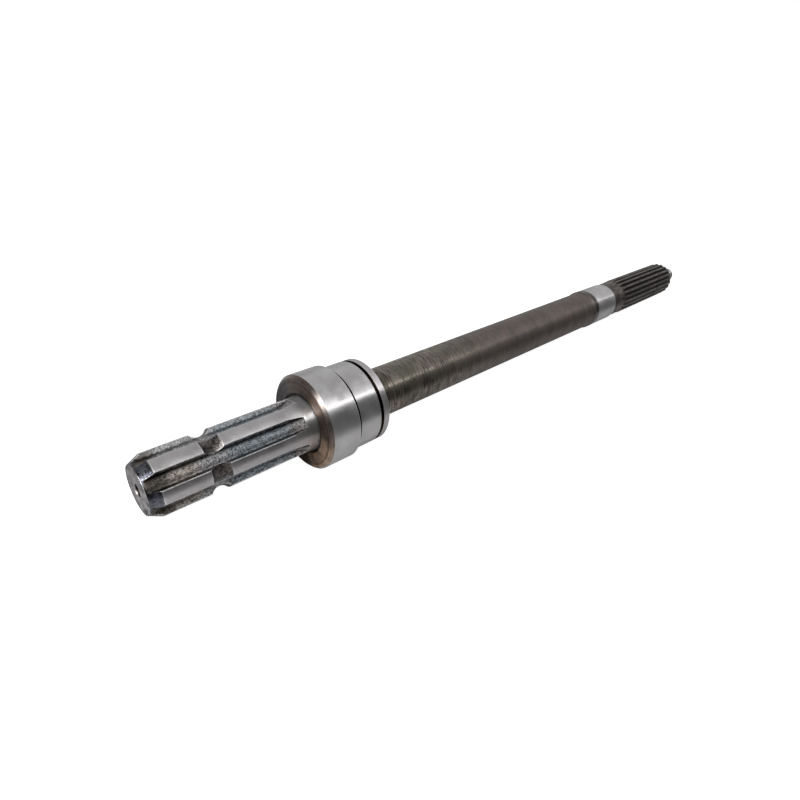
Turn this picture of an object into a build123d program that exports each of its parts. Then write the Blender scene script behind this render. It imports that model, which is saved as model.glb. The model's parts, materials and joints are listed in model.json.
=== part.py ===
from build123d import *
import math
import os

os.makedirs("parts", exist_ok=True)

# Power take-off shaft, lying along X, in millimetres.
# The origin is on the axis at the middle of the bearing seat. The six-spline end that
# carries the yoke points to -X, the long shank and the fine-splined drive end to +X.

# Diameters along the shaft, from the yoke end to the pilot
yoke_face_d = 28.2
six_spline_d = 34.9
six_root_d = 29.0
seal_land_d = 61.7
bearing_seat_d = 56.4
seat_relief_d = 55.6
ring_groove_d = 53.2
end_land_d = 56.2
shank_d = 33.8
black_land_d = 35.7
far_journal_d = 35.2
neck_d = 33.8
fine_spline_d = 34.9
fine_root_d = 31.2
fine_end_d = 31.0
pilot_d = 15.5

# Lengths along the shaft
yoke_chamfer_length = 6.8
lock_groove_distance = 38.0
full_spline_length = 80.8
yoke_end_length = 99.3
seal_land_length = 22.0
seat_relief_length = 2.9
bearing_seat_length = 15.6
ring_groove_length = 2.5
end_land_length = 5.2
shank_length = 279.0
shank_cone_length = 2.4
black_land_length = 6.2
far_journal_length = 34.2
neck_length = 24.2
neck_cone_length = 1.6
fine_spline_length = 108.9
fine_chamfer_length = 3.5
pilot_length = 26.3

# Six straight-sided teeth for the yoke
six_count = 6
six_tooth_width = 8.6
six_tip_break = 0.4
six_cutter_r = 26.0

# Ring groove for the yoke's lock
lock_groove_r = 7.0
lock_groove_root_d = 29.2

# Fine teeth of the drive end
fine_count = 21
fine_flank_angle = 34.0
fine_root_width = 1.0
fine_phase = -1.0
fine_cutter_r = 30.0
fine_full_start = 0.5

# Edge breaks, root fillets and the recess round the journal at the collar's face
collar_chamfer = 1.9
shoulder_break = 0.5
end_land_break = 0.8
collar_root_fillet = 3.0
pilot_root_fillet = 0.8
pilot_chamfer = 1.0
face_recess_width = 2.4
face_recess_depth = 1.4

# Centre holes that the shaft is turned and ground between
centre_angle = 60.0
yoke_centre_mouth_d = 7.8
yoke_centre_drill_d = 3.4
yoke_centre_depth = 9.0
pilot_centre_mouth_d = 5.0
pilot_centre_drill_d = 2.2
pilot_centre_depth = 6.0

# How far the cutters reach past the metal, and how far they turn to leave it
clear = 3.0
cutter_turn = 40.0

# Stations on the axis, each from its neighbour
seat_end_x = bearing_seat_length / 2
seat_start_x = -bearing_seat_length / 2
shoulder_x = seat_start_x - seat_relief_length
collar_face_x = shoulder_x - seal_land_length
yoke_face_x = collar_face_x - yoke_end_length
lock_groove_x = yoke_face_x + lock_groove_distance
full_spline_x = yoke_face_x + full_spline_length
ring_groove_end_x = seat_end_x + ring_groove_length
collar_back_x = ring_groove_end_x + end_land_length
shank_end_x = collar_back_x + shank_length
black_land_x = shank_end_x + shank_cone_length
far_journal_x = black_land_x + black_land_length
neck_x = far_journal_x + far_journal_length
neck_end_x = neck_x + neck_length
fine_spline_x = neck_end_x + neck_cone_length
fine_chamfer_x = fine_spline_x + fine_spline_length
fine_end_x = fine_chamfer_x + fine_chamfer_length
pilot_end_x = fine_end_x + pilot_length

# Radii that more than one feature uses
six_tip_r = six_spline_d / 2
six_root_r = six_root_d / 2
fine_tip_r = fine_spline_d / 2
fine_root_r = fine_root_d / 2


def flank_point(along, half_width, tooth_angle, side):
    """A point on a straight tooth flank, in the (Y, Z) section of a space centred on +Z."""
    turn = math.radians(tooth_angle)
    y = along * math.sin(turn) - half_width * math.cos(turn)
    z = along * math.cos(turn) + half_width * math.sin(turn)
    return (side * y, z)


# Corners of one space between the six teeth: root, start of the tip break, and past the tip
six_half_pitch = 180 / six_count
six_half_tooth = six_tooth_width / 2
six_root_along = math.sqrt(six_root_r**2 - six_half_tooth**2)
six_break_along = math.sqrt(six_tip_r**2 - six_half_tooth**2) - six_tip_break
six_reach = six_tip_break + clear
six_sides = {}
for side in (-1, 1):
    root = flank_point(six_root_along, six_half_tooth, six_half_pitch, side)
    tip = flank_point(six_break_along, six_half_tooth, six_half_pitch, side)
    past = flank_point(six_break_along + six_reach, six_half_tooth - six_reach, six_half_pitch, side)
    six_sides[side] = (root, tip, past)

# The cutter's path in one space: straight in from the end, then out round the cutter's own radius
with BuildPart() as six_space:
    with BuildSketch(Plane.YZ.offset(full_spline_x)) as six_section:
        with BuildLine():
            Polyline(*six_sides[1])
            Line(six_sides[1][2], six_sides[-1][2])
            Polyline(*reversed(six_sides[-1]))
            ThreePointArc(six_sides[-1][0], (0, six_root_r), six_sides[1][0])
        make_face()
    extrude(amount=-(full_spline_length + clear))
    revolve(
        profiles=six_section.sketch,
        axis=Axis((full_spline_x, 0, six_root_r + six_cutter_r), (0, -1, 0)),
        revolution_arc=cutter_turn,
    )

# One space between the fine teeth, its flanks straight and its root round
fine_half_pitch = 180 / fine_count
fine_slope = math.tan(math.radians(fine_flank_angle))
fine_root_half = fine_root_width / 2
fine_past_z = fine_tip_r + clear
fine_past_half = fine_root_half + (fine_past_z - fine_root_r) * fine_slope
fine_full_x = fine_spline_x + fine_full_start
with BuildPart() as fine_space:
    with BuildSketch(Plane.YZ.offset(fine_full_x)) as fine_section:
        with BuildLine():
            Polyline(
                (fine_root_half, fine_root_r),
                (fine_past_half, fine_past_z),
                (-fine_past_half, fine_past_z),
                (-fine_root_half, fine_root_r),
            )
            ThreePointArc(
                (-fine_root_half, fine_root_r),
                (0, fine_root_r - fine_root_half / 2),
                (fine_root_half, fine_root_r),
            )
        make_face()
    extrude(amount=fine_end_x - fine_full_x + clear)
    revolve(
        profiles=fine_section.sketch,
        axis=Axis((fine_full_x, 0, fine_root_r + fine_cutter_r), (0, 1, 0)),
        revolution_arc=cutter_turn,
    )

# The shaft is one forging, turned all over, splined, hardened and ground on its bright lands
with BuildPart() as pto_shaft:
    with BuildSketch(Plane.XZ):
        with BuildLine():
            Polyline(
                (yoke_face_x, 0),
                (yoke_face_x, yoke_face_d / 2),
                (yoke_face_x + yoke_chamfer_length, six_tip_r),
                (collar_face_x + face_recess_depth, six_tip_r),
                (collar_face_x, six_tip_r + face_recess_width),
                (collar_face_x, seal_land_d / 2 - collar_chamfer),
                (collar_face_x + collar_chamfer, seal_land_d / 2),
                (shoulder_x - shoulder_break, seal_land_d / 2),
                (shoulder_x, seal_land_d / 2 - shoulder_break),
                (shoulder_x, seat_relief_d / 2),
                (seat_start_x, seat_relief_d / 2),
                (seat_start_x, bearing_seat_d / 2),
                (seat_end_x, bearing_seat_d / 2),
                (seat_end_x, ring_groove_d / 2),
                (ring_groove_end_x, ring_groove_d / 2),
                (ring_groove_end_x, end_land_d / 2),
                (collar_back_x - end_land_break, end_land_d / 2),
                (collar_back_x, end_land_d / 2 - end_land_break),
                (collar_back_x, shank_d / 2),
                (shank_end_x, shank_d / 2),
                (black_land_x, black_land_d / 2),
                (far_journal_x, black_land_d / 2),
                (far_journal_x, far_journal_d / 2),
                (neck_x, far_journal_d / 2),
                (neck_x, neck_d / 2),
                (neck_end_x, neck_d / 2),
                (fine_spline_x, fine_tip_r),
                (fine_chamfer_x, fine_tip_r),
                (fine_end_x, fine_end_d / 2),
                (fine_end_x, pilot_d / 2),
                (pilot_end_x - pilot_chamfer, pilot_d / 2),
                (pilot_end_x, pilot_d / 2 - pilot_chamfer),
                (pilot_end_x, 0),
                close=True,
            )
        make_face()
    revolve(axis=Axis.X)

    # The round groove that the yoke's lock drops into
    with BuildSketch(Plane.XZ):
        with Locations((lock_groove_x, lock_groove_root_d / 2 + lock_groove_r)):
            Circle(lock_groove_r)
    revolve(axis=Axis.X, mode=Mode.SUBTRACT)

    # Root fillets behind the collar and at the foot of the pilot
    circles = pto_shaft.edges().filter_by(GeomType.CIRCLE)
    at_collar_back = circles.filter_by_position(Axis.X, collar_back_x, collar_back_x)
    at_fine_end = circles.filter_by_position(Axis.X, fine_end_x, fine_end_x)
    fillet(at_collar_back.sort_by(SortBy.RADIUS)[0], radius=collar_root_fillet)
    fillet(at_fine_end.sort_by(SortBy.RADIUS)[0], radius=pilot_root_fillet)

    # Centre holes: a drilled hole with a cone at its mouth
    with Locations(Plane((yoke_face_x, 0, 0), x_dir=(0, 1, 0), z_dir=(-1, 0, 0))):
        CounterSinkHole(
            radius=yoke_centre_drill_d / 2,
            counter_sink_radius=yoke_centre_mouth_d / 2,
            depth=yoke_centre_depth,
            counter_sink_angle=centre_angle,
        )
    with Locations(Plane((pilot_end_x, 0, 0), x_dir=(0, 1, 0), z_dir=(1, 0, 0))):
        CounterSinkHole(
            radius=pilot_centre_drill_d / 2,
            counter_sink_radius=pilot_centre_mouth_d / 2,
            depth=pilot_centre_depth,
            counter_sink_angle=centre_angle,
        )

    # Six spaces leave a tooth at the top and one at the bottom
    for index in range(six_count):
        turn = six_half_pitch * (2 * index + 1)
        add(six_space.part.rotate(Axis.X, turn), mode=Mode.SUBTRACT)

    # The fine spaces, each run out into the neck
    for index in range(fine_count):
        turn = fine_phase + fine_half_pitch * (2 * index + 1)
        add(fine_space.part.rotate(Axis.X, turn), mode=Mode.SUBTRACT)

pto_shaft.part.label = "pto_shaft"
export_step(pto_shaft.part, "parts/pto_shaft.step")
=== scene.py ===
import json
import math
import bmesh
import bpy
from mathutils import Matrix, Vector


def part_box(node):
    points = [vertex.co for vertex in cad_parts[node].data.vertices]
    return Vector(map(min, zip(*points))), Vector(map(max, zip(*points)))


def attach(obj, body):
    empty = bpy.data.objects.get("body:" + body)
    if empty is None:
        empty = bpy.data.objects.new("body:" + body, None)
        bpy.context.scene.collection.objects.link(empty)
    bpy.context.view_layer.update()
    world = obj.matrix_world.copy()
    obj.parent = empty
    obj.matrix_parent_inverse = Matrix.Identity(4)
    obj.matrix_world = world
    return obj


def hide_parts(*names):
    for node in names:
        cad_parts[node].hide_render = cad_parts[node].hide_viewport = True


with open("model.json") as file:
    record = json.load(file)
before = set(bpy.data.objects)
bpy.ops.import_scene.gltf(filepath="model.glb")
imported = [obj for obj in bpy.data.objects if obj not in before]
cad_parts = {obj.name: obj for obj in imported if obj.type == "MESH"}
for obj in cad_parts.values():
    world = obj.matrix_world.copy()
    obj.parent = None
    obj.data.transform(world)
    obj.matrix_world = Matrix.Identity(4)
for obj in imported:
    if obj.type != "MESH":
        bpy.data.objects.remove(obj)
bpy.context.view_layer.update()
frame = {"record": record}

mounts = {mount["name"]: mount for mount in frame["record"]["mounts"]}
mm = 0.001
nodeName = "pto_shaft"


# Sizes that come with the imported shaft, in mm
def mountRadius(name):
    return mounts[name]["dims"]["r_mm"]


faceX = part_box(nodeName)[0][0] / mm  # end face of the yoke end
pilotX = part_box(nodeName)[1][0] / mm  # end of the pilot
fullTurn = 2 * math.pi
columnCount = 336  # columns round the shaft, shared by 6 and by 21 teeth


# Gives a node's inputs by name or number: a socket is linked, any other value is set
def plug(tree, node, values):
    for key, value in values.items():
        if isinstance(value, bpy.types.NodeSocket):
            tree.links.new(value, node.inputs[key])
        else:
            node.inputs[key].default_value = value


# Adds a node and returns its outputs
def put(tree, kind, values=None, **settings):
    node = tree.nodes.new(kind)
    for setting, value in settings.items():
        setattr(node, setting, value)
    plug(tree, node, values or {})
    return node.outputs


def calc(tree, operation, first, second=0.0, third=0.0):
    return put(tree, "ShaderNodeMath", {0: first, 1: second, 2: third}, operation=operation)[0]


def times(tree, first, second):
    return calc(tree, "MULTIPLY", first, second)


def timesPlus(tree, first, second, third):
    return calc(tree, "MULTIPLY_ADD", first, second, third)


def spread(tree, value, low, high, outLow=0.0, outHigh=1.0, smooth=False):
    values = {"Value": value, "From Min": low, "From Max": high, "To Min": outLow, "To Max": outHigh}
    kind = "SMOOTHSTEP" if smooth else "LINEAR"
    return put(tree, "ShaderNodeMapRange", values, interpolation_type=kind)["Result"]


def noise(tree, place, scale, detail, roughness, line=False):
    values = {"W" if line else "Vector": place, "Scale": scale, "Detail": detail, "Roughness": roughness}
    return put(tree, "ShaderNodeTexNoise", values, noise_dimensions="1D" if line else "3D")["Fac"]


def blendColours(tree, factor, first, second, mode="MIX"):
    values = {0: factor, 6: first, 7: second}
    return put(tree, "ShaderNodeMix", values, data_type="RGBA", blend_type=mode)[2]


def shaded(tree, base, shade):
    return blendColours(tree, 1.0, base, shade, mode="MULTIPLY")


def useGroup(tree, group, **values):
    labels = {key.replace("_", " "): value for key, value in values.items()}
    return put(tree, "ShaderNodeGroup", labels, node_tree=group)


# A node group, and the sockets that bring its inputs
def newGroup(name, kind, inputs, outputs):
    group = bpy.data.node_groups.new(name, kind)
    for label, socketType, value in inputs:
        socket = group.interface.new_socket(label, in_out="INPUT", socket_type=socketType)
        if value is not None:
            socket.default_value = value
    for label, socketType in outputs:
        group.interface.new_socket(label, in_out="OUTPUT", socket_type=socketType)
    group.nodes.new("NodeGroupOutput")
    return group, put(group, "NodeGroupInput")


number, vector = "NodeSocketFloat", "NodeSocketVector"


def newShaderGroup(name, inputs, outputs):
    takes = [(label, number, value) for label, value in inputs.items()]
    return newGroup(name, "ShaderNodeTree", takes, [(label, number) for label in outputs])


def give(group, **results):
    labels = {key.replace("_", " "): result for key, result in results.items()}
    plug(group, group.nodes["Group Output"], labels)
    return group


# Place on the shaft in mm: along it, round it and out from its axis
def makeShaftPlace():
    lengths = [(label, number) for label in ("Along", "Angle", "Out", "Path")]
    group = newGroup("shaftPlace", "ShaderNodeTree", [], [("Point", vector)] + lengths)[0]
    place = put(group, "ShaderNodeTexCoord")["Object"]
    point = put(group, "ShaderNodeVectorMath", {0: place, "Scale": 1 / mm}, operation="SCALE")[0]
    along, sideways, up = put(group, "ShaderNodeSeparateXYZ", {0: point})
    squares = timesPlus(group, up, up, times(group, sideways, sideways))
    out = calc(group, "SQRT", squares)
    angle = calc(group, "DEGREES", calc(group, "ARCTAN2", sideways, up))
    return give(group, Point=point, Along=along, Angle=angle, Out=out, Path=calc(group, "ADD", along, out))


shaftPlace = makeShaftPlace()


# Marks that a lathe or a grinding wheel leaves: rings across the tool's path, fine over coarse
def makeToolRings():
    group, start = newShaderGroup(
        "toolRings", {"Fine": 3.0, "Coarse": 0.4, "Wander": 0.3, "Seed": 0.0},
        ("Height", "Fine Rings", "Coarse Rings"),
    )
    place = useGroup(group, shaftPlace)
    bend = noise(group, place["Point"], 0.03, 1.0, 0.5)
    path = timesPlus(group, bend, start["Wander"], place["Path"])
    path = calc(group, "ADD", path, start["Seed"])
    fine = noise(group, times(group, path, start["Fine"]), 1.0, 3.0, 0.7, line=True)
    coarse = noise(group, times(group, path, start["Coarse"]), 1.0, 2.0, 0.6, line=True)
    height = timesPlus(group, coarse, 0.6, fine)
    return give(group, Height=height, Fine_Rings=fine, Coarse_Rings=coarse)


# Short scratches that run a little way round the shaft
def makeScratches():
    group, start = newShaderGroup(
        "roundScratches", {"Spacing": 0.6, "Length": 9.0, "Seed": 0.0}, ("Scratch",)
    )
    point = useGroup(group, shaftPlace)["Point"]
    across = calc(group, "DIVIDE", 1.0, start["Spacing"])
    around = calc(group, "DIVIDE", 1.0, start["Length"])
    stretch = put(group, "ShaderNodeCombineXYZ", {"X": across, "Y": around, "Z": around})[0]
    moved = put(
        group, "ShaderNodeVectorMath", {0: point, 1: stretch, 2: start["Seed"]}, operation="MULTIPLY_ADD"
    )[0]
    return give(group, Scratch=noise(group, moved, 1.0, 2.0, 0.6))


# Grain of cut or scaled steel, and the blotches that oil and heat leave on it
def makeSteelGrain():
    group, start = newShaderGroup(
        "steelGrain", {"Grain Size": 0.5, "Blotch Size": 8.0, "Seed": 0.0}, ("Grain", "Blotch")
    )
    point = useGroup(group, shaftPlace)["Point"]
    moved = put(group, "ShaderNodeVectorMath", {0: point, 1: start["Seed"]}, operation="ADD")[0]
    grain = noise(group, moved, calc(group, "DIVIDE", 1.0, start["Grain Size"]), 3.0, 0.65)
    blotch = noise(group, moved, calc(group, "DIVIDE", 1.0, start["Blotch Size"]), 4.0, 0.6)
    return give(group, Grain=grain, Blotch=blotch)


# Bright edges, from the edge attribute and broken up by grain: partly wear, partly a painted highlight
def makeEdgeWearAndGlint():
    group, start = newShaderGroup("edgeWearAndGlint", {"Grain": 0.5, "Amount": 1.0}, ("Mask",))
    edge = put(group, "ShaderNodeAttribute", attribute_name="edge")["Fac"]
    broken = times(group, edge, spread(group, start["Grain"], 0.3, 0.6, 0.35, 1.0))
    return give(group, Mask=times(group, broken, start["Amount"]))


# Painted shade in the roots of the splines, from the deep attribute, partly dark scale; below nought it
# lightens towards worn steel, partly as painted light
def makeRootShadeAndWear():
    group, start = newShaderGroup("rootShadeAndWear", {"Grain": 0.5, "Amount": 1.0}, ("Clean", "Worn"))
    deep = put(group, "ShaderNodeAttribute", attribute_name="deep")["Fac"]
    patch = spread(group, start["Grain"], 0.35, 0.65, 0.8, 1.0)
    patchy = times(group, calc(group, "MAXIMUM", deep, 0.0), patch)
    worn = calc(group, "MAXIMUM", times(group, deep, -1.0), 0.0)
    hidden = times(group, patchy, start["Amount"])
    return give(group, Worn=times(group, worn, patch), Clean=calc(group, "SUBTRACT", 1.0, hidden))


# One at an angle round the shaft, fading to nothing at half the width each side
def makeRoundPatch():
    group, start = newShaderGroup("roundPatch", {"Centre": 0.0, "Width": 60.0}, ("Mask",))
    apart = calc(group, "SUBTRACT", useGroup(group, shaftPlace)["Angle"], start["Centre"])
    near = calc(group, "COSINE", calc(group, "RADIANS", apart))
    edge = calc(group, "COSINE", calc(group, "RADIANS", times(group, start["Width"], 0.5)))
    return give(group, Mask=spread(group, near, edge, 1.0, smooth=True))


# One where the place along the shaft lies between two stations, with soft ends
def makeReach():
    group, start = newShaderGroup("reachAlong", {"From": 0.0, "To": 10.0, "Soft": 4.0}, ("Mask",))
    along = useGroup(group, shaftPlace)["Along"]
    rise = calc(group, "DIVIDE", calc(group, "SUBTRACT", along, start["From"]), start["Soft"])
    fall = calc(group, "DIVIDE", calc(group, "SUBTRACT", start["To"], along), start["Soft"])
    return give(group, Mask=spread(group, calc(group, "MINIMUM", rise, fall), -0.5, 0.5, smooth=True))


toolRings = makeToolRings()
roundScratches = makeScratches()
steelGrain = makeSteelGrain()
edgeWearAndGlint = makeEdgeWearAndGlint()
reachAlong = makeReach()
rootShadeAndWear = makeRootShadeAndWear()
roundPatch = makeRoundPatch()


def alongMask(tree, start, stop, soft):
    return useGroup(tree, reachAlong, From=start, To=stop, Soft=soft)["Mask"]


def roundMask(tree, centre, width):
    return useGroup(tree, roundPatch, Centre=centre, Width=width)["Mask"]


def newMaterial(name):
    material = bpy.data.materials.new(name)
    material.use_nodes = True
    return material, material.node_tree, material.node_tree.nodes["Principled BSDF"]


# Bare steel; a turned or ground face also stretches its shine across the tool's rings
def newSteel(name, anisotropic=0.0, grazing=1.0):
    material, tree, shader = newMaterial(name)
    plug(tree, shader, {"Metallic": 1.0, "Specular Tint": grey(grazing)})
    if anisotropic:
        tangent = put(tree, "ShaderNodeTangent", direction_type="RADIAL", axis="X")[0]
        values = {"Anisotropic": anisotropic, "Anisotropic Rotation": 0.25, "Tangent": tangent}
        plug(tree, shader, values)
    return material, tree, shader


def wire(tree, shader, base, rough, height, depth):
    bump = put(tree, "ShaderNodeBump", {"Height": height, "Distance": depth * mm, "Strength": 1.0})[0]
    plug(tree, shader, {"Base Color": base, "Roughness": rough, "Normal": bump})


def grey(value):
    return (value, value, value, 1.0)


# Lightens the edges towards a colour: partly wear, partly a painted highlight
def wornGlintEdge(tree, base, grain, amount, colour):
    edge = useGroup(tree, edgeWearAndGlint, Grain=grain["Grain"], Amount=amount)["Mask"]
    return blendColours(tree, edge, base, colour)


# Ground steel: bright, with fine grinding rings and a faint film of oil
def makeGroundSteel(name, dark, light, roughness, grit, seed):
    material, tree, shader = newSteel(name, anisotropic=0.8, grazing=0.74)
    rings = useGroup(tree, toolRings, Fine=3.2, Coarse=0.5, Wander=0.2, Seed=seed)
    grain = useGroup(tree, steelGrain, Grain_Size=0.5, Blotch_Size=14.0, Seed=seed - 8.0)
    shade = timesPlus(tree, rings["Fine Rings"], 0.3, grain["Blotch"])
    shade = calc(tree, "ADD", shade, spread(tree, grain["Grain"], 0.3, 0.7, -grit, grit))
    base = blendColours(tree, spread(tree, shade, 0.4, 0.9), dark, light)
    base = wornGlintEdge(tree, base, grain, 0.8, grey(0.74))
    rough = spread(tree, grain["Blotch"], 0.3, 0.7, roughness - 0.06, roughness + 0.07)
    wire(tree, shader, base, rough, rings["Height"], 0.003)
    return material


# Turned and hardened steel of the shank: dark and mottled, scratched brighter towards the collar
def makeTurnedSteel():
    finish = {
        "valley": (0.048, 0.042, 0.038, 1), "nearCrest": (0.35, 0.318, 0.272, 1),
        "farCrest": (0.27, 0.235, 0.218, 1), "rusty": (0.19, 0.125, 0.105, 1),
        "olive": (0.115, 0.118, 0.085, 1), "nearReach": (-40.0, 105.0, 130.0),
        "nearRoughness": 0.37, "farRoughness": 0.50, "depth": 0.014,
    }
    material, tree, shader = newSteel("turnedSteel", anisotropic=0.5, grazing=0.95)
    rings = useGroup(tree, toolRings, Fine=1.5, Coarse=0.12, Wander=2.0, Seed=2.0)
    scratches = useGroup(tree, roundScratches, Spacing=1.2, Length=8.0, Seed=4.0)
    grain = useGroup(tree, steelGrain, Grain_Size=1.0, Blotch_Size=13.0, Seed=7.0)
    stains = useGroup(tree, steelGrain, Grain_Size=6.0, Blotch_Size=16.0, Seed=37.0)
    near = alongMask(tree, *finish["nearReach"])
    scratchDepth = spread(tree, near, 0.0, 1.0, 0.08, 0.82)
    marks = timesPlus(tree, scratches["Scratch"], 2.2, rings["Fine Rings"])
    cut = times(tree, spread(tree, marks, 1.2, 2.0, -0.5, 0.5), scratchDepth)
    bare = calc(tree, "ADD", cut, spread(tree, rings["Coarse Rings"], 0.3, 0.7, 0.36, 0.44))
    uneven = spread(tree, grain["Blotch"], 0.3, 0.7, -0.24, 0.24)
    bare = timesPlus(tree, uneven, spread(tree, near, 0.0, 1.0, 0.4, 1.0), bare)
    bare = calc(tree, "ADD", bare, spread(tree, grain["Grain"], 0.3, 0.7, -0.08, 0.08))
    crest = blendColours(tree, near, finish["farCrest"], finish["nearCrest"])
    base = blendColours(tree, bare, finish["valley"], crest)
    rusty = spread(tree, stains["Grain"], 0.50, 0.72, 0.0, 0.6)
    olive = times(tree, spread(tree, stains["Blotch"], 0.48, 0.66, 0.0, 0.7), near)
    base = blendColours(tree, rusty, base, finish["rusty"])
    base = blendColours(tree, olive, base, finish["olive"])
    smooth = spread(tree, near, 0.0, 1.0, finish["farRoughness"], finish["nearRoughness"])
    rough = calc(tree, "SUBTRACT", smooth, spread(tree, bare, 0.1, 0.8, -0.04, 0.04))
    rough = timesPlus(tree, cut, -0.28, rough)
    wire(tree, shader, base, rough, marks, finish["depth"])
    return material


# Heat-browned face and chamfer of the collar, left as turned: brown, tan below as partly heat tint and
# partly a painted reflection, violet above. At a low level it is near black: painted shade over dark oxide
# in the collar's recess, its relief and its ring groove
def makeBrownedSteel(name, level, roughness, coat, tanReflection=1.0):
    finish = {
        "brown": (0.073, 0.048, 0.036, 1), "tan": (0.66, 0.465, 0.335, 1),
        "violet": (0.052, 0.048, 0.053, 1), "bare": (0.21, 0.185, 0.17, 1), "wornGlintEdge": (0.42, 0.37, 0.32, 1),
        "tanReflectionSide": (-105.0, 88.0), "violetSide": (90.0, 90.0),
        "coatRoughness": 0.32, "depth": 0.02,
    }
    material, tree, shader = newSteel(name, anisotropic=0.93)
    plug(tree, shader, {"Coat Weight": coat, "Coat Roughness": finish["coatRoughness"]})
    rings = useGroup(tree, toolRings, Fine=1.6, Coarse=0.45, Wander=0.4, Seed=5.0)
    grain = useGroup(tree, steelGrain, Grain_Size=0.7, Blotch_Size=5.0, Seed=13.0)
    # Tan on the lower side: partly heat tint, partly a painted reflection of the floor
    tan = times(tree, roundMask(tree, *finish["tanReflectionSide"]), tanReflection)
    base = blendColours(tree, tan, finish["brown"], finish["tan"])
    base = blendColours(tree, roundMask(tree, *finish["violetSide"]), base, finish["violet"])
    bare = spread(tree, rings["Fine Rings"], 0.5, 0.8, 0.0, 0.6)
    base = blendColours(tree, bare, base, finish["bare"])
    mark = timesPlus(tree, rings["Coarse Rings"], 0.6, rings["Fine Rings"])
    mark = timesPlus(tree, grain["Blotch"], 0.8, mark)
    mark = spread(tree, mark, 1.0, 1.4, 0.45 * level, 1.6 * level)
    base = shaded(tree, base, mark)
    base = wornGlintEdge(tree, base, grain, 0.6 * level, finish["wornGlintEdge"])
    rough = spread(tree, rings["Fine Rings"], 0.3, 0.7, roughness + 0.05, roughness - 0.05)
    wire(tree, shader, base, rough, rings["Height"], finish["depth"])
    return material


# Milled spaces between the yoke's teeth: grainy, browned near the end and blued towards the run-out
def makeMilledSteel():
    finish = {
        "plain": (0.25, 0.249, 0.256, 1), "tan": (0.25, 0.222, 0.195, 1), "blue": (0.193, 0.218, 0.237, 1),
        "dusky": (0.062, 0.055, 0.048, 1), "scaled": (0.152, 0.144, 0.143, 1),
        "wornAndLit": (0.30, 0.285, 0.28, 1), "warmSide": (-60.0, 150.0), "shadedSide": (-32.0, 170.0),
    }
    # From the end face: start, end and softness of each tint
    reaches = {"tan": (3, 28, 8.0), "blue": (44, 84, 10.0), "dusky": (-9, 12, 9.0), "scaled": (84, 94, 3.0)}
    material, tree, shader = newSteel("milledSteel")
    masks = {
        tint: alongMask(tree, faceX + start, faceX + stop, soft)
        for tint, (start, stop, soft) in reaches.items()
    }
    grain = useGroup(tree, steelGrain, Grain_Size=0.82, Blotch_Size=2.2, Seed=17.0)
    warm = times(tree, masks["tan"], roundMask(tree, *finish["warmSide"]))
    base = blendColours(tree, warm, finish["plain"], finish["tan"])
    for tint in ("blue", "dusky", "scaled"):
        base = blendColours(tree, masks[tint], base, finish[tint])
    speckle = timesPlus(tree, grain["Blotch"], 0.5, grain["Grain"])
    base = shaded(tree, base, spread(tree, speckle, 0.62, 0.88, 0.2, 2.0))
    # Painted shade in the roots, strongest on the side about 32 degrees from the top towards -Y and lighter
    # elsewhere
    amount = spread(tree, roundMask(tree, *finish["shadedSide"]), 0.0, 1.0, 0.35, 0.96)
    shadeAndWear = useGroup(tree, rootShadeAndWear, Grain=grain["Grain"], Amount=amount)
    base = shaded(tree, base, shadeAndWear["Clean"])
    base = blendColours(tree, shadeAndWear["Worn"], base, finish["wornAndLit"])
    base = wornGlintEdge(tree, base, grain, 1.0, grey(0.9))
    rough = spread(tree, grain["Blotch"], 0.35, 0.65, 0.30, 0.5)
    wire(tree, shader, base, rough, grain["Grain"], 0.07)
    return material


# Blackened steel of the stop land, the neck and the fine teeth
def makeBlackenedSteel():
    finish = {
        "black": (0.026, 0.023, 0.023, 1), "bare": (0.165, 0.142, 0.13, 1), "worn": (0.42, 0.37, 0.345, 1),
        "stopReach": (296.5, 303.1, 0.5),
    }
    material, tree, shader = newSteel("blackenedSteel", grazing=0.9)
    rings = useGroup(tree, toolRings, Fine=1.6, Coarse=0.3, Wander=0.6, Seed=23.0)
    grain = useGroup(tree, steelGrain, Grain_Size=0.7, Blotch_Size=7.0, Seed=29.0)
    worn = timesPlus(tree, rings["Fine Rings"], 0.5, grain["Blotch"])
    base = blendColours(tree, spread(tree, worn, 0.5, 1.0), finish["black"], finish["bare"])
    # Edges lightened: partly wear, partly a painted highlight
    base = wornGlintEdge(tree, base, grain, 0.7, finish["worn"])
    # Painted shade from the deep attribute in the gaps of the fine teeth and in the yoke end's centre hole
    clean = useGroup(tree, rootShadeAndWear, Grain=grain["Grain"], Amount=0.92)["Clean"]
    base = shaded(tree, base, clean)
    rough = spread(tree, worn, 0.5, 1.0, 0.50, 0.34)
    stop = alongMask(tree, *finish["stopReach"])
    rough = timesPlus(tree, stop, -0.13, rough)
    base = blendColours(tree, times(tree, stop, 0.1), base, finish["black"])
    wire(tree, shader, base, rough, rings["Height"], 0.012)
    return material


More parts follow.
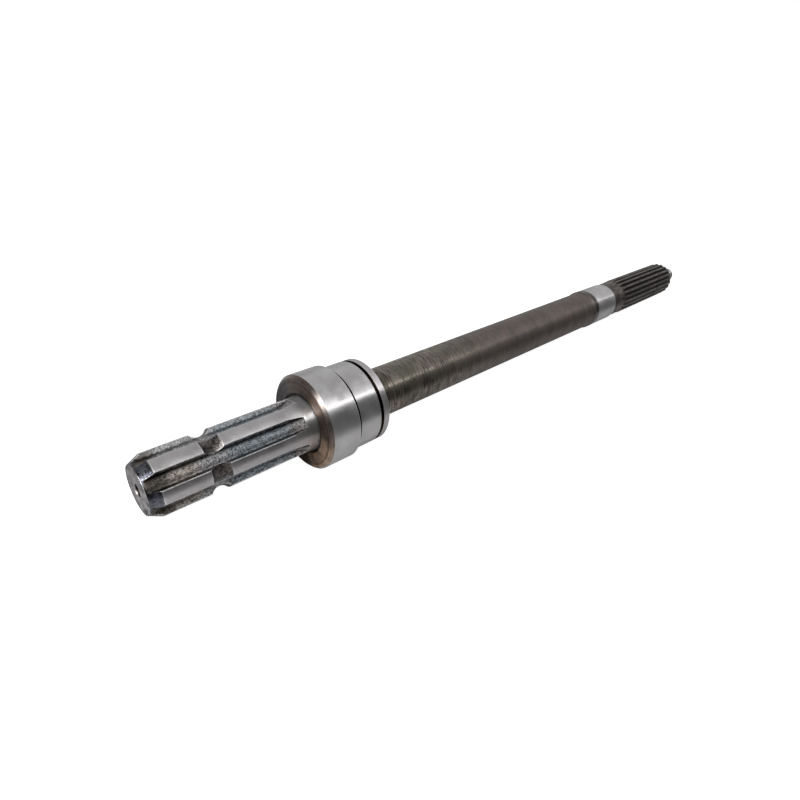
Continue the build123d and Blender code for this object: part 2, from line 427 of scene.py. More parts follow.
# Plain turned steel of the end faces, the blued cone and the lock groove
def makeEndSteel(name, dark, light, roughness, seed, depth, speckle, film=None):
    material, tree, shader = newSteel(name, anisotropic=0.1)
    rings = useGroup(tree, toolRings, Fine=2.2, Coarse=0.6, Wander=0.3, Seed=seed)
    grain = useGroup(tree, steelGrain, Grain_Size=0.95, Blotch_Size=5.0, Seed=seed + 6.0)
    shade = timesPlus(tree, rings["Fine Rings"], 0.3, grain["Blotch"])
    shade = timesPlus(tree, grain["Grain"], speckle, shade)
    base = blendColours(tree, spread(tree, shade, 0.42 + speckle / 2, 0.83 + speckle / 2), dark, light)
    if film:  # a patchy film of oil takes the shine at shallow angles, most of all at the rim
        out = useGroup(tree, shaftPlace)["Out"]
        rim = spread(tree, out, film["clean"], film["dull"], film["middle"], film["rim"])
        patchy = spread(tree, shade, 0.54 + speckle / 2, 0.78 + speckle / 2, film["least"], film["most"])
        plug(tree, shader, {"Specular Tint": times(tree, patchy, rim)})
    base = wornGlintEdge(tree, base, grain, 0.5, grey(0.42))
    rough = spread(tree, grain["Blotch"], 0.35, 0.65, roughness - 0.06, roughness + 0.06)
    wire(tree, shader, base, rough, rings["Height"], depth)
    return material


finishes = {
    "ground": makeGroundSteel(
        "groundSteel", (0.41, 0.398, 0.405, 1), (0.61, 0.60, 0.605, 1),
        roughness=0.33, grit=0.16, seed=11.0,
    ),
    "landed": makeGroundSteel(
        "toothLandSteel", (0.375, 0.362, 0.366, 1), (0.55, 0.532, 0.54, 1),
        roughness=0.40, grit=0.22, seed=61.0,
    ),
    "turned": makeTurnedSteel(),
    "browned": makeBrownedSteel("brownedSteel", level=0.92, roughness=0.52, coat=0.26),
    # Near black: painted shade over dark oxide
    "recessShade": makeBrownedSteel("recessShadeSteel", level=0.14, roughness=0.50, coat=0.0),
    "chamfered": makeBrownedSteel("chamferSteel", level=1.08, roughness=0.45, coat=1.0, tanReflection=0.35),
    "milled": makeMilledSteel(),
    "blackened": makeBlackenedSteel(),
    "end": makeEndSteel(
        "endSteel", (0.14, 0.134, 0.135, 1), (0.36, 0.343, 0.35, 1),
        roughness=0.38, seed=31.0, depth=0.02, speckle=1.3,
        film={"clean": 5.0, "dull": 12.0, "middle": 1.42, "rim": 0.66, "least": 0.3, "most": 1.15},
    ),
    "coned": makeEndSteel(
        "conedSteel", (0.022, 0.023, 0.029, 1), (0.12, 0.125, 0.147, 1),
        roughness=0.26, seed=41.0, depth=0.03, speckle=1.4,
    ),
    "grooved": makeEndSteel(
        "groovedSteel", (0.022, 0.019, 0.018, 1), (0.15, 0.137, 0.13, 1),
        roughness=0.38, seed=51.0, depth=0.14, speckle=1.8,
    ),
}
finishNumber = {name: index for index, name in enumerate(finishes)}
print("finishes made:", ", ".join(finishes))


# Repeats one sector of the shaft round the X axis, welds it and gives each finish its material
def makeRoundTree():
    tree, start = newGroup(
        "repeatRoundAxis", "GeometryNodeTree",
        [("Sector", "NodeSocketGeometry", None), ("Count", "NodeSocketInt", 6), ("Weld", number, 1e-6)],
        [("Shaft Part", "NodeSocketGeometry")],
    )
    spots = put(tree, "GeometryNodePoints", {"Count": start["Count"]})[0]
    index = put(tree, "GeometryNodeInputIndex")[0]
    angle = times(tree, index, calc(tree, "DIVIDE", fullTurn, start["Count"]))
    turn = put(tree, "ShaderNodeCombineXYZ", {"X": angle})[0]
    takes = {"Points": spots, "Instance": start["Sector"], "Rotation": turn}
    copies = put(tree, "GeometryNodeInstanceOnPoints", takes)[0]
    whole = put(tree, "GeometryNodeRealizeInstances", {0: copies})[0]
    whole = put(tree, "GeometryNodeMergeByDistance", {0: whole, "Distance": start["Weld"]})[0]
    marked = put(tree, "GeometryNodeInputNamedAttribute", {"Name": "finish"}, data_type="INT")
    for name, material in finishes.items():
        chosen = put(
            tree, "FunctionNodeCompare", {2: marked["Attribute"], 3: finishNumber[name]},
            data_type="INT", operation="EQUAL",
        )[0]
        whole = put(
            tree, "GeometryNodeSetMaterial", {"Geometry": whole, "Selection": chosen, "Material": material}
        )[0]
    return give(tree, Shaft_Part=whole)


roundTree = makeRoundTree()


def addObject(name, data):
    item = bpy.data.objects.new(name, data)
    bpy.context.scene.collection.objects.link(item)
    return item


# Mesh of one sector from rows of points (x, radius, angle, edge, deep), with a finish for each strip
def sectorMesh(name, rows):
    width = len(rows[0]["points"])
    corners, edges, depths, faces, marks = [], [], [], [], []
    for row in rows:
        for x, radius, angle, edge, deep in row["points"]:
            corners.append((x * mm, radius * math.sin(angle) * mm, radius * math.cos(angle) * mm))
            edges.append(edge)
            depths.append(deep)
    for station, row in enumerate(rows[:-1]):
        for column in range(width - 1):
            first = station * width + column
            faces.append((first, first + 1, first + width + 1, first + width))
            marks.append(finishNumber[row["finish"][column]])
    mesh = bpy.data.meshes.new(name)
    mesh.from_pydata(corners, [], faces)
    mesh.attributes.new("finish", "INT", "FACE").data.foreach_set("value", marks)
    mesh.attributes.new("edge", "FLOAT", "POINT").data.foreach_set("value", edges)
    mesh.attributes.new("deep", "FLOAT", "POINT").data.foreach_set("value", depths)
    return mesh


def repeated(name, rows, count):
    sector = addObject(name, sectorMesh(name, rows))
    modifier = sector.modifiers.new("round", "NODES")
    modifier.node_group = roundTree
    sockets = {item.name: item.identifier for item in roundTree.interface.items_tree}
    modifier[sockets["Count"]] = count
    sector.update_tag()
    graph = bpy.context.evaluated_depsgraph_get()
    whole = bpy.data.meshes.new_from_object(
        sector.evaluated_get(graph), preserve_all_data_layers=True, depsgraph=graph
    )
    bpy.data.objects.remove(sector)
    return whole


# A turned outline: corners (x, radius, edge break, finish that follows) become rows. An outer corner
# is brightened, partly as wear and partly as a painted highlight, and one whose break is given as negative
# keeps its dark scale
def softOutline(corners):
    guard = 0.4  # how far the brightening spreads from a rounded corner
    facet = math.radians(14)  # largest turn between two rows of a rounding
    stations = []
    for index, (x, radius, soft, finish) in enumerate(corners):
        turn = 0
        if soft:
            before, after = corners[index - 1], corners[index + 1]
            inX, inR = x - before[0], radius - before[1]
            outX, outR = after[0] - x, after[1] - radius
            inLength, outLength = math.hypot(inX, inR), math.hypot(outX, outR)
            inX, inR, outX, outR = inX / inLength, inR / inLength, outX / outLength, outR / outLength
            turn = math.atan2(inX * outR - inR * outX, inX * outX + inR * outR)
        if turn == 0:
            stations.append((x, radius, 0.0, finish))
            continue
        reach = abs(soft) * math.tan(abs(turn) / 2)
        steps = max(2, math.ceil(abs(turn) / facet))
        side = 1 if turn > 0 else -1
        startX, startR = x - inX * reach, radius - inR * reach
        if inLength > reach + 3 * guard:
            stations.append((startX - inX * guard, startR - inR * guard, 0.0, before[3]))
        centreX, centreR = startX - side * inR * abs(soft), startR + side * inX * abs(soft)
        armX, armR = startX - centreX, startR - centreR
        bright = 1.0 if turn < 0 < soft else 0.0
        for step in range(steps + 1):
            lean = turn * step / steps
            atX = centreX + armX * math.cos(lean) - armR * math.sin(lean)
            atR = centreR + armX * math.sin(lean) + armR * math.cos(lean)
            stations.append((atX, atR, bright, finish if step >= steps / 2 else before[3]))
        if outLength > reach + 3 * guard:
            stations.append((atX + outX * guard, atR + outR * guard, 0.0, finish))
    return stations


def plainRow(spline, x, radius, edge, finish, twist=0.0, deep=0.0):
    columns = columnCount // spline["teeth"]
    halfPitch = math.pi / spline["teeth"]
    angles = [-halfPitch + 2 * halfPitch * column / columns + twist for column in range(columns + 1)]
    return {"points": [(x, radius, angle, edge, deep) for angle in angles], "finish": [finish] * columns}


# Half of a space between teeth, as (across, up) points from its middle to its tip
def halfSpace(spline):
    halfPitch = math.pi / spline["teeth"]
    soft = spline["rootFillet"]
    root = spline["rootRadius"]
    if spline["parallel"]:
        half = spline["toothWidth"] / 2
        outward = (math.sin(halfPitch), math.cos(halfPitch))
        inward = (-math.cos(halfPitch), math.sin(halfPitch))
        start = math.sqrt((root + soft) ** 2 - (half + soft) ** 2)
    else:
        lean = math.radians(spline["flankAngle"])
        outward = (math.sin(lean), math.cos(lean))
        inward = (-math.cos(lean), math.sin(lean))
        foot = (spline["rootHalfWidth"], spline["flankFoot"])
        start = foot[0] * outward[0] + foot[1] * outward[1]
        half = foot[0] * inward[0] + foot[1] * inward[1]
    stop = math.sqrt(spline["tipRadius"] ** 2 - half**2) - spline["tipBreak"]

    def onFlank(along, across):
        return (along * outward[0] + across * inward[0], along * outward[1] + across * inward[1])

    points = []
    if spline["parallel"]:
        centre = onFlank(start, half + soft)
        rootEnd = math.atan2(centre[0], centre[1])
        for step in range(spline["rootSteps"] + 1):
            angle = rootEnd * step / spline["rootSteps"]
            points.append((root * math.sin(angle), root * math.cos(angle)))
        corner = len(points) - 1
        turnStart = math.atan2(points[-1][1] - centre[1], points[-1][0] - centre[0])
        foot = onFlank(start, half)
        turnStop = math.atan2(foot[1] - centre[1], foot[0] - centre[0])
        sweep = (turnStop - turnStart + math.pi) % fullTurn - math.pi
        for step in range(1, spline["filletSteps"] + 1):
            angle = turnStart + sweep * step / spline["filletSteps"]
            points.append((centre[0] + soft * math.cos(angle), centre[1] + soft * math.sin(angle)))
    else:
        deep = spline["flankFoot"] - root
        ball = (spline["rootHalfWidth"] ** 2 + deep**2) / (2 * deep)
        rootEnd = math.asin(spline["rootHalfWidth"] / ball)
        for step in range(spline["rootSteps"] + 1):
            angle = rootEnd * step / spline["rootSteps"]
            points.append((ball * math.sin(angle), root + ball - ball * math.cos(angle)))
        corner = len(points) - 1
    for step in range(1, spline["flankSteps"] + 1):
        points.append(onFlank(start + (stop - start) * step / spline["flankSteps"], half))
    flankEnd = len(points) - 1
    tipBreak = spline["tipBreak"]
    points.append(onFlank(stop + tipBreak * 1.02, half - tipBreak * spline["breakLean"]))
    return points, corner, flankEnd


# One row of a splined sector: the tooth's outline where the cutter is lifted by a given travel.
# Painted shade from the deep attribute darkens the roots and flanks, unevenly between the two sides of a
# space; negative values lighten towards worn steel, partly as painted light
def toothRow(spline, x, tip, finish, twist=0.0, closing=False, edge=0.0, rim=0.45):
    points, corner, flankEnd = spline["space"]
    halfPitch = math.pi / spline["teeth"]
    reach = spline["rootRadius"] + spline["cutterRadius"]
    travel = max(0.0, (x - spline["fullEnd"]) * spline["side"])
    onTop = len(points)  # stands for a point on the tooth's top, which gets no painted shade

    def lifted(point, far):
        arm = reach - point[1]
        return (point[0], reach - math.sqrt(max(arm * arm - far * far, 0.0)))

    def deepness(index, side):
        if not spline["parallel"]:
            return 1.0 if index < flankEnd else 0.4 if index == flankEnd else 0.0
        if index <= corner:
            return spline["cornerShading"][side] * (index / corner) ** 1.2
        if index <= corner + spline["filletSteps"]:
            return spline["filletShading"][side]
        return spline["flankShading"][side] if index <= flankEnd else 0.0

    half = []
    if closing:
        for point in points[: corner + 1]:
            tipUp = math.sqrt(tip * tip - point[0] ** 2)
            far = math.sqrt(max((reach - point[1]) ** 2 - (reach - tipUp) ** 2, 0.0))
            at = spline["fullEnd"] + spline["side"] * far if travel else x
            half.append((at, tip, math.atan2(point[0], tipUp), rim, onTop))
        half += half[-1:] * (len(points) - corner - 1)
    else:
        found = None
        for index, point in enumerate(points):
            now = lifted(point, travel)
            radius = math.hypot(*now)
            if found is None and index > corner and radius >= tip - 1e-6:
                before = points[index - 1]
                low, high = 0.0, 1.0
                for attempt in range(24):
                    middle = (low + high) / 2
                    across = before[0] + (point[0] - before[0]) * middle
                    up = before[1] + (point[1] - before[1]) * middle
                    trial = lifted((across, up), travel)
                    if math.hypot(*trial) < tip:
                        low = middle
                    else:
                        high = middle
                found = (x, tip, math.atan2(*trial), 1.0, onTop)
            if found is None:
                half.append((x, radius, math.atan2(*now), 1.0 if index > flankEnd else 0.0, index))
            else:
                half.append(found)
        if found is None:
            half[-1] = (x, tip, half[-1][2], 1.0, onTop)
    topSteps = spline["topSteps"]
    atX, edgeAngle = half[-1][0], half[-1][2]
    for step in range(1, topSteps + 1):
        angle = edgeAngle + (halfPitch - edgeAngle) * step / topSteps
        half.append((atX, tip, angle, edge, onTop))
    row = []
    for at, radius, angle, edgeBright, index in half:
        row.append((at, radius, -halfPitch + angle + twist, edgeBright, deepness(index, 0)))
    for at, radius, angle, edgeBright, index in reversed(half[:-1]):
        row.append((at, radius, halfPitch - angle + twist, edgeBright, deepness(index, 1)))
    spaceColumns = len(points) - 1
    topFinish, spaceFinish = finish
    halfFinish = [spaceFinish] * spaceColumns + [topFinish] * topSteps
    return {"points": row, "finish": halfFinish + halfFinish[::-1]}


# Lean of the cones at the mouths of the centre holes
centreLean = math.tan(math.radians(30))


# Yoke end, in mm: six straight-sided teeth, a lock groove, a coned rim and a centre hole
def makeYokeEnd():
    size = {
        "teeth": 6, "tipRadius": 17.45, "rootRadius": 14.5, "toothWidth": 8.6, "parallel": True,
        "tipBreak": 0.4, "breakLean": 1.0, "rootFillet": 0.7, "cutterRadius": 26.0, "side": 1,
        "cornerShading": (1.0, -0.3), "filletShading": (1.0, 0.2), "flankShading": (-0.3, 0.75),
        "rootSteps": 10, "filletSteps": 4, "flankSteps": 4, "topSteps": 9, "grooveSteps": 14,
        "faceRadius": 14.1, "coneLength": 6.8, "fullLength": 80.8, "splineMiddle": -70.0,
        "lockDistance": 38.0, "lockRadius": 7.0, "lockRootRadius": 14.6, "plainStart": 94.5,
        "centreMouth": 3.9, "centreDrill": 1.7, "centreDepth": 9.0, "drillLean": 31.0,
        "innerCone": 0.7, "faceRings": (4.6, 10.0), "chamferPast": 12.0,
    }
    size["fullEnd"] = faceX + size["fullLength"]
    size["space"] = halfSpace(size)
    tip, root, face = size["tipRadius"], size["rootRadius"], size["faceRadius"]
    coneSlope = (tip - face) / size["coneLength"]
    rows = []

    def land(x, edge=0.0):
        rows.append(toothRow(size, x, tip, ("landed", "milled"), edge=edge))

    # From the drilled hole out over the end face, with the edges of both broken by a little
    mouth, drill, innerCone = size["centreMouth"], size["centreDrill"], size["innerCone"]
    drillEnd = faceX + size["centreDepth"]
    for x, radius, edge, finish in (
        (drillEnd + drill * math.tan(math.radians(size["drillLean"])), 0.0, 0.0, "blackened"),
        (drillEnd, drill, 0.0, "blackened"),
        (faceX + (mouth - drill) / centreLean, drill, 0.0, "blackened"),
        (faceX + innerCone, mouth - innerCone * centreLean, 0.0, "blackened"),
        (faceX + 0.15, mouth - 0.06, 0.6, "end"),
        (faceX, mouth + 0.1, 0.6, "end"),
        (faceX, size["faceRings"][0], 0.0, "end"),
        (faceX, size["faceRings"][1], 0.0, "end"),
        (faceX, face - 0.5, 0.0, "end"),
        (faceX, face - 0.14, 0.1, "end"),
        (faceX + 0.05, face - 0.02, 0.25, "end"),
        (faceX + 0.18, face + 0.09, 0.0, "coned"),
    ):
        # The drilled hole gets full painted shade through the deep attribute
        holeShade = 1.0 if finish == "blackened" else 0.0
        rows.append(plainRow(size, x, radius, edge, finish, deep=holeShade))
    rimX = faceX + (root - face) / coneSlope
    rows.append(toothRow(size, rimX, root, ("coned", "milled"), closing=True, rim=0.0))
    for share in (0.15, 0.35, 0.6, 0.85):
        x = rimX + (faceX + size["coneLength"] - rimX) * share
        rows.append(toothRow(size, x, face + (x - faceX) * coneSlope, ("coned", "milled")))
    coneEnd = faceX + size["coneLength"]
    rows.append(toothRow(size, coneEnd - 0.2, tip - 0.2 * coneSlope, ("landed", "milled"), edge=0.7))
    land(coneEnd + 0.1, edge=0.7)
    lockX = faceX + size["lockDistance"]
    lockUp = size["lockRootRadius"] + size["lockRadius"]
    halfGroove = math.acos((lockUp - tip) / size["lockRadius"])
    grooveReach = size["lockRadius"] * math.sin(halfGroove)
    for x in (coneEnd + 0.6, coneEnd + size["chamferPast"], lockX - grooveReach - 0.7):
        land(x)
    land(lockX - grooveReach - 0.25, edge=0.6)
    grooveSteps = size["grooveSteps"]
    for step in range(grooveSteps + 1):
        angle = halfGroove * (2 * step / grooveSteps - 1)
        x = lockX + size["lockRadius"] * math.sin(angle)
        radius = lockUp - size["lockRadius"] * math.cos(angle)
        topFinish = "grooved" if step < grooveSteps else "landed"
        lip = 0.8 if step in (0, grooveSteps) else 0.0
        rows.append(toothRow(size, x, min(radius, tip), (topFinish, "milled"), edge=lip))
    land(lockX + grooveReach + 0.25, edge=0.6)
    for x in (lockX + grooveReach + 0.7, size["splineMiddle"], size["fullEnd"]):
        land(x)
    reach = root + size["cutterRadius"]
    leave = math.sqrt(size["cutterRadius"] ** 2 - (reach - tip) ** 2)
    for share in (0.2, 0.35, 0.48, 0.6, 0.7, 0.78, 0.85, 0.9, 0.94, 0.97, 0.99):
        land(size["fullEnd"] + leave * share)
    rows.append(toothRow(size, size["fullEnd"] + leave, tip, ("ground", "ground"), closing=True))
    plainStart = faceX + size["plainStart"]
    rows.append(plainRow(size, plainStart, tip, 0.0, "ground"))
    return repeated("yokeEnd", rows, size["teeth"]), plainStart, tip


yokeMesh, plainStart, journalRadius = makeYokeEnd()
print("yoke end made,", len(yokeMesh.polygons), "faces")

# Turn of the fine teeth against the six, from the top towards +Y
finePhase = math.radians(1.0)
neckStation = 345.0  # in the neck, where the turned length meets the drive end


# Everything turned, in mm: collar with its seal land, seat and ring groove, shank, far journal
def makeTurnedLength():
    seal, seat = mountRadius("seal_land"), mountRadius("bearing_seat")
    far = mountRadius("far_journal")
    seatHalf = mounts["bearing_seat"]["dims"]["length_mm"] / 2
    farX = mounts["far_journal"]["pos_m"][0] / mm
    farHalf = mounts["far_journal"]["dims"]["length_mm"] / 2
    size = {
        "collarFace": -32.7, "blendRadius": 26.0, "blendPast": 0.95, "recessWide": 2.4,
        "recessDeep": 1.4, "collarChamfer": 1.9, "shoulder": -10.7, "shoulderBreak": 0.5,
        "seatLead": 0.5, "reliefRadius": 27.8, "grooveWide": 2.5, "grooveRadius": 26.6,
        "endLandRadius": 28.1, "endLandLong": 5.2, "endBreak": 0.8, "rootFillet": 3.0,
        "shankRadius": 16.9, "shankMiddle": 120.0, "stopRadius": 17.85, "stopLong": 6.2,
        "stopCone": 2.4, "neckRadius": 16.9,
    }
    face, journal, chamfer = size["collarFace"], journalRadius, size["collarChamfer"]
    shoulder, shoulderBreak = size["shoulder"], size["shoulderBreak"]
    relief, groove, endLand = size["reliefRadius"], size["grooveRadius"], size["endLandRadius"]
    shank, stop = size["shankRadius"], size["stopRadius"]
    grooveEnd = seatHalf + size["grooveWide"]
    collarBack = grooveEnd + size["endLandLong"]
    farStart, farEnd = farX - farHalf, farX + farHalf
    stopStart = farStart - size["stopLong"]
    # The journal rises into the recess, and the seat starts a little early: both as in the photo
    blend = []
    for share in (0.0, 0.2, 0.4, 0.6, 0.8, 1.0):
        x = plainStart + (face + size["blendPast"] - plainStart) * share
        blend.append((x, journal + (x - plainStart) ** 2 / (2 * size["blendRadius"]), 0, "ground"))
    blendEnd = blend[-1][1]
    seatStart = -seatHalf - size["seatLead"]
    # Recess, relief, ring groove and the step behind the seal land are painted near black as shade
    stations = softOutline(blend + [
        (face + size["blendPast"] + 0.05, blendEnd, 0, "recessShade"),
        (face + size["recessDeep"], blendEnd, 0.2, "recessShade"),
        (face, journal + size["recessWide"], -0.25, "browned"),
        (face, seal - chamfer, -0.15, "chamfered"),
        (face + chamfer, seal, 0.15, "ground"),
        (shoulder - shoulderBreak, seal, 0.1, "ground"),
        (shoulder, seal - shoulderBreak, 0.1, "recessShade"),
        (shoulder, relief, 0.5, "recessShade"),
        (seatStart, relief, 0, "recessShade"),
        (seatStart + 0.2, seat, 0.1, "ground"),
        (seatHalf - 0.15, seat, 0.1, "ground"),
        (seatHalf, seat - 0.2, 0, "recessShade"),
        (seatHalf, groove, 0.2, "recessShade"),
        (grooveEnd, groove, 0.2, "recessShade"),
        (grooveEnd, endLand - 0.2, 0, "recessShade"),
        (grooveEnd + 0.15, endLand, 0.1, "landed"),
        (collarBack - size["endBreak"], endLand, 0.2, "browned"),
        (collarBack, endLand - size["endBreak"], 0.2, "turned"),
        (collarBack, shank, size["rootFillet"], "turned"),
        (size["shankMiddle"], shank, 0, "turned"),
        (stopStart - size["stopCone"], shank, 1.5, "turned"),
        (stopStart, stop, 0.3, "blackened"),
        (farStart - 0.2, stop, 0.15, "blackened"),
        (farStart, far, 0, "ground"),
        (farEnd - 0.3, far, 0.15, "ground"),
        (farEnd, far - 0.3, 0, "blackened"),
        (farEnd, size["neckRadius"], 0.2, "blackened"),
        (neckStation, size["neckRadius"], 0, "blackened"),
    ])
    step = fullTurn / columnCount
    rows = []
    for x, radius, edge, finish in stations:
        twist = finePhase * max(0.0, min(1.0, (x - collarBack) / (stopStart - collarBack)))
        points = [(x, radius, twist, edge, 0.0), (x, radius, twist + step, edge, 0.0)]
        rows.append({"points": points, "finish": [finish]})
    return repeated("turnedLength", rows, columnCount)


turnedMesh = makeTurnedLength()
print("collar and shank made,", len(turnedMesh.polygons), "faces")


# Drive end, in mm: fine teeth that run out into the neck, and the pilot
def makeDriveEnd():
    pilotRadius = mountRadius("pilot")
    size = {
        "teeth": 21, "tipRadius": 17.45, "rootRadius": 15.35, "flankFoot": 15.6, "rootHalfWidth": 0.5,
        "flankAngle": 34.0, "parallel": False, "tipBreak": 0.2, "breakLean": 0.8, "rootFillet": 0.0,
        "cutterRadius": 30.0, "side": -1, "rootSteps": 2, "flankSteps": 2, "topSteps": 3,
        "neckRadius": 16.9, "splineStart": 363.1, "coneLong": 1.6, "fullOffset": 0.5,
        "splineMiddles": (400.0, 440.0), "chamferStart": 472.0, "endX": 475.5, "endRadius": 15.5,
        "endRing": 15.0, "pilotFillet": 0.8, "pilotChamfer": 1.0, "centreMouth": 2.5,
        "centreDrill": 1.1, "centreDepth": 6.0, "drillTip": 0.6,
    }
    size["fullEnd"] = size["splineStart"] + size["fullOffset"]
    size["space"] = halfSpace(size)
    neck, tip = size["neckRadius"], size["tipRadius"]
    rows = [plainRow(size, neckStation, neck, 0.0, "blackened", finePhase)]

    def toothed(x, radius, **more):
        rows.append(toothRow(size, x, radius, ("blackened", "blackened"), finePhase, **more))

    reach = size["rootRadius"] + size["cutterRadius"]
    leave = math.sqrt(size["cutterRadius"] ** 2 - (reach - neck) ** 2)
    toothed(size["fullEnd"] - leave, neck, closing=True)
    for x in (size["fullEnd"] - leave * 0.93, size["splineStart"] - size["coneLong"]):
        toothed(x, neck)
    toothed(size["splineStart"], tip, edge=0.6)
    for x in (size["fullEnd"], size["splineStart"] + 1.2, *size["splineMiddles"], size["chamferStart"]):
        toothed(x, tip)
    for share in (0.33, 0.66, 1.0):
        x = size["chamferStart"] + (size["endX"] - size["chamferStart"]) * share
        toothed(x, tip + (size["endRadius"] - tip) * share)
    chamfer, drill, drillEnd = size["pilotChamfer"], size["centreDrill"], pilotX - size["centreDepth"]
    for x, radius, edge, finish in softOutline([
        (size["endX"], size["endRing"], 0, "blackened"),
        (size["endX"], pilotRadius, size["pilotFillet"], "ground"),
        (pilotX - chamfer, pilotRadius, 0.15, "ground"),
        (pilotX, pilotRadius - chamfer, 0.15, "end"),
        (pilotX, size["centreMouth"], 0.1, "end"),
        (pilotX - (size["centreMouth"] - drill) / centreLean, drill, 0, "blackened"),
        (drillEnd, drill, 0, "blackened"),
        (drillEnd - size["drillTip"], 0.0, 0, "blackened"),
    ]):
        rows.append(plainRow(size, x, radius, edge, finish, finePhase))
    return repeated("driveEnd", rows, size["teeth"])


driveMesh = makeDriveEnd()
print("drive end made,", len(driveMesh.polygons), "faces")


# The three lengths welded into one closed shaft
def joinShaft(meshes, name):
    limit = {"weld": 2e-6, "thin": 1e-7, "sharp": 27.0}
    whole = bmesh.new()
    for mesh in meshes:
        whole.from_mesh(mesh)
    bmesh.ops.remove_doubles(whole, verts=whole.verts, dist=limit["weld"])
    bmesh.ops.dissolve_degenerate(whole, edges=whole.edges, dist=limit["thin"])
    bmesh.ops.recalc_face_normals(whole, faces=whole.faces)
    finish = whole.faces.layers.int["finish"]
    for face in whole.faces:
        face.material_index = face[finish]
        face.smooth = True
    openEdges = sum(1 for edge in whole.edges if len(edge.link_faces) != 2)
    joined = bpy.data.meshes.new(name)
    whole.to_mesh(joined)
    whole.free()
    for material in finishes.values():
        joined.materials.append(material)
    joined.set_sharp_from_angle(angle=math.radians(limit["sharp"]))
    print("shaft welded,", len(joined.polygons), "faces,", openEdges, "open edges")
    return addObject(name, joined)


shaft = joinShaft((yokeMesh, turnedMesh, driveMesh), "splined_shaft")
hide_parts(nodeName)
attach(shaft, "root")


# Pale floor under the collar and the far end, tilted to touch both. For rays that the shaft mirrors it also
# glows as painted light: darker on the camera's side, brighter behind, with a painted shadow under the
# shaft, and past the yoke end fading away from the camera
def makeFloor():
    size = {"collarX": -21.0, "farX": 472.0, "farRadius": 17.45, "half": 6000.0, "under": 0.05}
    paint = {
        "front": 0.30, "back": 0.40, "seen": 0.95, "frontGlow": 0.22, "backGlow": 0.17,
        "shadowBandFront": -22.0, "shadowBandBack": 26.0, "soft": 16.0, "endFrom": -140.0, "endAcross": (2.0, 36.0),
        "endShade": (0.48, 0.28), "endGlow": (0.34, 0.10), "roughness": 0.9,
    }
    seal = mountRadius("seal_land")
    slope = (seal - size["farRadius"]) / (size["farX"] - size["collarX"])
    half = size["half"]
    corners = []
    for x, y in ((-half, -half), (half, -half), (half, half), (-half, half)):
        z = -seal - size["under"] + (x - size["collarX"]) * slope
        corners.append((x * mm, y * mm, z * mm))
    mesh = bpy.data.meshes.new("floor")
    mesh.from_pydata(corners, [], [(0, 1, 2, 3)])
    floor = addObject("floor", mesh)
    material, tree, shader = newMaterial("paleFloor")
    place = put(tree, "ShaderNodeTexCoord")["Object"]
    parts = put(tree, "ShaderNodeSeparateXYZ", {0: place})
    along, across = calc(tree, "DIVIDE", parts["X"], mm), calc(tree, "DIVIDE", parts["Y"], mm)

    def past(value, edge, low, high):
        return spread(tree, value, edge - paint["soft"], edge + paint["soft"], low, high, True)

    front = past(across, paint["shadowBandFront"], 1.0, 0.0)
    behind = past(across, paint["shadowBandBack"], 0.0, 1.0)
    yokeSide = past(along, paint["endFrom"], 1.0, 0.0)
    endShade = spread(tree, across, *paint["endAcross"], *paint["endShade"])
    endGlow = spread(tree, across, *paint["endAcross"], *paint["endGlow"])
    shade = spread(tree, behind, 0.0, 1.0, paint["front"], paint["back"])
    shade = spread(tree, yokeSide, 0.0, 1.0, shade, endShade)
    paths = put(tree, "ShaderNodeLightPath")
    mirrored = calc(tree, "MAXIMUM", paths["Is Glossy Ray"], paths["Is Transmission Ray"])
    # Between the two band edges, under the shaft, the glow falls to nothing: a painted shadow in what the
    # shaft mirrors
    glow = times(tree, behind, paint["backGlow"])
    glow = timesPlus(tree, front, paint["frontGlow"], glow)
    glow = times(tree, mirrored, spread(tree, yokeSide, 0.0, 1.0, glow, endGlow))
    glow = timesPlus(tree, paths["Is Camera Ray"], paint["seen"], glow)
    plug(tree, shader, {
        "Base Color": shade, "Roughness": paint["roughness"], "Specular IOR Level": 0.0,
        "Emission Color": grey(1.0), "Emission Strength": glow,
    })
    mesh.materials.append(material)


makeFloor()


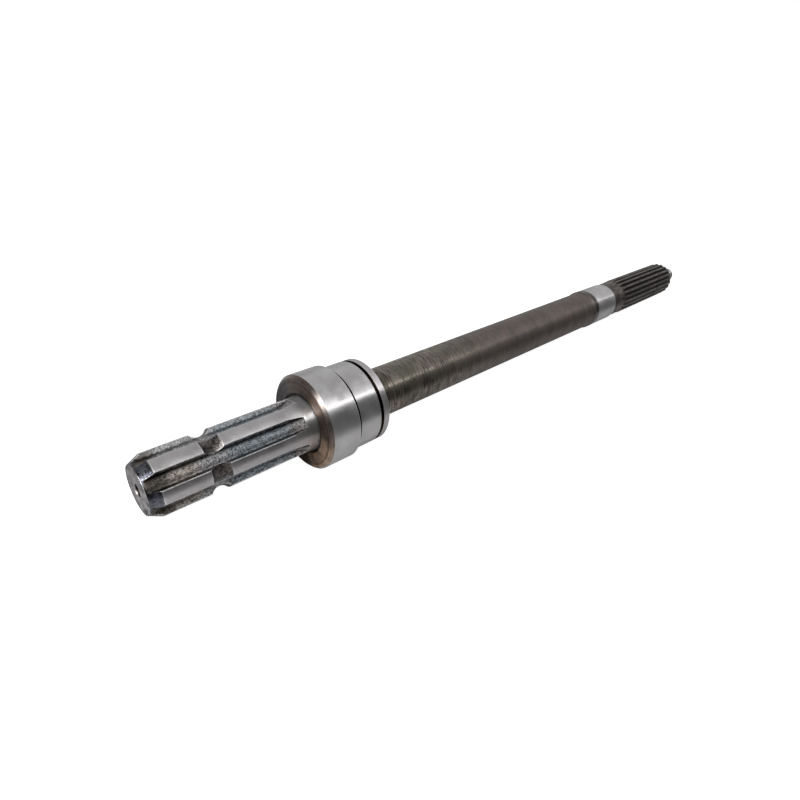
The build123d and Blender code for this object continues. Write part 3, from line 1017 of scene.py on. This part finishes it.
# Room light: a bright wall and ceiling behind the shaft, a dark room on the camera's side
def makeRoom():
    level = {
        "back": 0.52, "wall": 0.84, "front": 0.14, "edge": -0.25, "soft": 0.12, "yokeSide": 0.36,
        "yokeFrom": -0.55, "yokeTo": -0.1, "wallFrom": 0.1, "wallTo": 0.9,
    }
    world = bpy.data.worlds.new("room")
    bpy.context.scene.world = world
    world.use_nodes = True
    tree = world.node_tree
    place = put(tree, "ShaderNodeTexCoord")["Generated"]
    parts = put(tree, "ShaderNodeSeparateXYZ", {0: place})
    low, high = level["edge"] - level["soft"], level["edge"] + level["soft"]
    behind = spread(tree, parts["Y"], low, high, smooth=True)
    wall = spread(tree, parts["Z"], level["wallFrom"], level["wallTo"], level["wall"], level["back"])
    shade = timesPlus(tree, behind, calc(tree, "SUBTRACT", wall, level["front"]), level["front"])
    dim = spread(tree, parts["X"], level["yokeFrom"], level["yokeTo"], level["yokeSide"], 1.0, True)
    paths = put(tree, "ShaderNodeLightPath")
    seen = calc(tree, "MAXIMUM", times(tree, shade, dim), paths["Is Camera Ray"])
    plug(tree, tree.nodes["Background"], {"Strength": seen, "Color": grey(1.0)})


makeRoom()


# An area lamp: its sides in mm, and its strength for each square metre of it
def newLamp(name, length, width, strength):
    data = bpy.data.lights.new(name, "AREA")
    data.shape = "RECTANGLE"
    data.size = length * mm
    data.size_y = width * mm
    area = length * width * mm * mm
    data.energy = strength * math.pi * area
    return addObject(name, data)


# Lamps along the shaft, each placed by its angle round the axis from straight up
def addStrip(name, angle, length, width, strength, centreX, distance=1300):
    lamp = newLamp(name, length, width, strength)
    turn = math.radians(angle)
    lamp.location = (centreX * mm, math.sin(turn) * distance * mm, math.cos(turn) * distance * mm)
    lamp.rotation_euler = (-turn, 0, 0)


addStrip("stripLamp", angle=-21.2, length=2100, width=150, strength=4.4, centreX=200.0)
addStrip("farLamp", angle=-21.2, length=220, width=150, strength=9.5, centreX=2700.0)
addStrip("nearLamp", angle=-12.0, length=1400, width=250, strength=4.9, centreX=-600.0)


# Lamp in front of the yoke end, which lights the faces that look that way
def addEndLamp():
    size = {"place": (-1320.0, 130.0, 750.0), "across": 400.0, "strength": 62.0}
    lamp = newLamp("endLamp", size["across"], size["across"], size["strength"])
    lamp.location = [value * mm for value in size["place"]]
    lamp.rotation_euler = (-lamp.location).to_track_quat("-Z", "Y").to_euler()


addEndLamp()


# Camera at the photograph's place, in mm and degrees; its clip distances are in metres
def addCamera():
    view = {
        "place": (-190.2, -147.8, 261.3), "turn": (42.506, -18.571, -40.399),
        "lens": 24.381, "sensor": 36.0, "near": 0.01, "far": 50.0,
    }
    data = bpy.data.cameras.new("camera")
    data.lens = view["lens"]
    data.sensor_width = view["sensor"]
    data.clip_start = view["near"]
    data.clip_end = view["far"]
    camera = addObject("camera", data)
    camera.location = [value * mm for value in view["place"]]
    camera.rotation_euler = [math.radians(value) for value in view["turn"]]
    bpy.context.scene.camera = camera


addCamera()
bpy.context.scene.view_settings.view_transform = "Standard"
print("floor, light and camera set")
